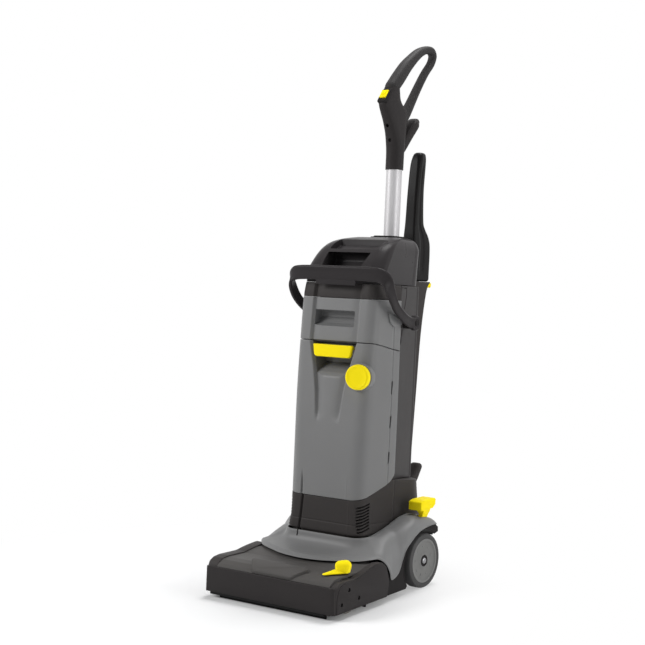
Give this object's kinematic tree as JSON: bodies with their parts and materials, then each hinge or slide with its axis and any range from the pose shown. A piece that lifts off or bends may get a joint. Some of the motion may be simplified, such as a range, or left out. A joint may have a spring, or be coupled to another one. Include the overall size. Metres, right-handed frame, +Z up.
{
  "type": "upright vacuum cleaner",
  "caption": "Compact upright floor scrubber-vacuum with a roller-brush head on wheels, stacked tanks, a carrying bail, a stowed wand and a loop handle.",
  "frame": {"origin": "on the floor under the middle of the bounding box", "axes": "+X is the machine's right as seen by a user behind it, +Y its back, +Z up"},
  "size_m": [0.335, 0.6144, 1.1784],
  "materials": {
    "charcoal": "fine-grained satin charcoal moulding",
    "black_plastic": "matte black moulding",
    "rubber": "matte black rubber",
    "tyre": "matte dark rubber tread",
    "rim": "satin dark grey moulding",
    "grey": "satin mid-grey moulding",
    "yellow": "semi-gloss yellow moulding",
    "steel": "satin steel",
    "tube_steel": "satin silver tube",
    "motor": "satin painted metal",
    "pulley": "matte black moulding",
    "bristle": "pale nylon bristle",
    "grip": "soft dark grip"
  },
  "bodies": {
    "head": {"head_shell": "charcoal", "front_panel": "charcoal", "side_plate_left": "charcoal", "side_plate_right": "charcoal", "plate_screws": "steel", "chassis": "black_plastic", "hood": "grey", "skirt_left": "black_plastic", "skirt_right": "black_plastic", "axle": "steel", "brush_motor": "motor", "drive_belt": "rubber", "brush_bearings": "steel", "pedal_pin": "steel"},
    "brush": {"brush_core": "pulley", "bristles": "bristle", "brush_pulley": "pulley"},
    "motor_rotor": {"motor_pulley": "pulley"},
    "squeegees": {"front_holder": "charcoal", "front_blade": "rubber", "rear_holder": "charcoal", "rear_blade": "rubber"},
    "lever": {"lift_lever": "yellow"},
    "pedal": {"foot_pedal": "yellow"},
    "wheel_left": {"tyre_left": "tyre", "rim_left": "rim", "hubcap_left": "charcoal"},
    "wheel_right": {"tyre_right": "tyre", "rim_right": "rim", "hubcap_right": "charcoal"},
    "latch": {"latch": "yellow"},
    "fill_cap": {"fill_cap": "yellow"},
    "rocker": {"rocker": "yellow"},
    "wand": {"wand": "charcoal"},
    "catch": {"catch": "yellow"},
    "cable_hook": {"cable_hook": "charcoal"},
    "bail": {"bail": "charcoal"},
    "upright": {"tilt_bracket": "black_plastic", "base_housing": "charcoal", "column": "charcoal", "tank_lower": "grey", "tank_upper": "grey", "tank_cap": "charcoal", "latch_pin": "steel", "dome": "charcoal", "dome_tray": "black_plastic", "tube_socket": "black_plastic", "tube": "tube_steel", "tube_collar": "charcoal", "grip_front": "charcoal", "grip_back": "charcoal", "grip_loop": "grip", "grip_screws": "steel", "switch_bezel": "black_plastic", "wand_holder": "charcoal", "suction_turbine": "motor", "pump": "motor", "cable_gland": "black_plastic", "bail_pins": "black_plastic"}
  },
  "joints": [
    {"name": "upright_recline", "type": "hinge", "parent": "head", "child": "upright", "pos_m": [0, 0.0264, 0.0586], "axis": [-1, 0, 0], "range_deg": [0, 42]},
    {"name": "wheel_left_spin", "type": "hinge", "parent": "head", "child": "wheel_left", "pos_m": [-0.15, 0.0264, 0.0586], "axis": [1, 0, 0], "continuous": true},
    {"name": "wheel_right_spin", "type": "hinge", "parent": "head", "child": "wheel_right", "pos_m": [0.15, 0.0264, 0.0586], "axis": [1, 0, 0], "continuous": true},
    {"name": "brush_spin", "type": "hinge", "parent": "head", "child": "brush", "pos_m": [0, -0.2342, 0.036], "axis": [1, 0, 0], "continuous": true},
    {"name": "motor_spin", "type": "hinge", "parent": "head", "child": "motor_rotor", "pos_m": [-0.149, -0.0682, 0.043], "axis": [1, 0, 0], "continuous": true},
    {"name": "lever_turn", "type": "hinge", "parent": "head", "child": "lever", "pos_m": [0.138, -0.2402, 0.0816], "axis": [0, 0, 1], "range_deg": [0, 60]},
    {"name": "squeegee_lift", "type": "slide", "parent": "head", "child": "squeegees", "axis": [0, 0, 1], "range_m": [0, 0.006]},
    {"name": "pedal_press", "type": "hinge", "parent": "head", "child": "pedal", "pos_m": [0.137, 0.0378, 0.133], "axis": [-1, 0, 0], "range_deg": [0, 12], "stiffness_Nm_per_rad": 0.5, "springref_deg": -14.32},
    {"name": "bail_swing", "type": "hinge", "parent": "upright", "child": "bail", "pos_m": [0, 0.05498, 0.56527], "axis": [1, 0, 0], "range_deg": [0, 50]},
    {"name": "latch_pull", "type": "hinge", "parent": "upright", "child": "latch", "pos_m": [0, -0.07585, 0.51772], "axis": [-1, 0, 0], "range_deg": [0, 25], "stiffness_Nm_per_rad": 0.1, "springref_deg": -11.46},
    {"name": "fill_cap_turn", "type": "hinge", "parent": "upright", "child": "fill_cap", "pos_m": [0.077, -0.08915, 0.45954], "axis": [0.2079, -0.9755, 0.0716], "range_deg": [0, 90]},
    {"name": "rocker_tip", "type": "hinge", "parent": "upright", "child": "rocker", "pos_m": [0, 0.11037, 1.05624], "axis": [1, 0, 0], "range_deg": [-6, 6]},
    {"name": "wand_lift", "type": "slide", "parent": "upright", "child": "wand", "axis": [0, 0.0732, 0.9973], "range_m": [0, 0.055]},
    {"name": "catch_press", "type": "slide", "parent": "upright", "child": "catch", "axis": [0, -0.9973, 0.0732], "range_m": [0, 0.004], "stiffness_N_per_m": 200, "springref_m": -0.005},
    {"name": "cable_hook_turn", "type": "hinge", "parent": "upright", "child": "cable_hook", "pos_m": [0.024, 0.14727, 0.18348], "axis": [0, 0.9973, -0.0732], "range_deg": [0, 180]}
  ],
  "couplings": [
    {"joint": "motor_spin", "follows": "brush_spin", "ratio": 2},
    {"joint": "lever_turn", "follows": "squeegee_lift", "rad_per_m": 174}
  ]
}
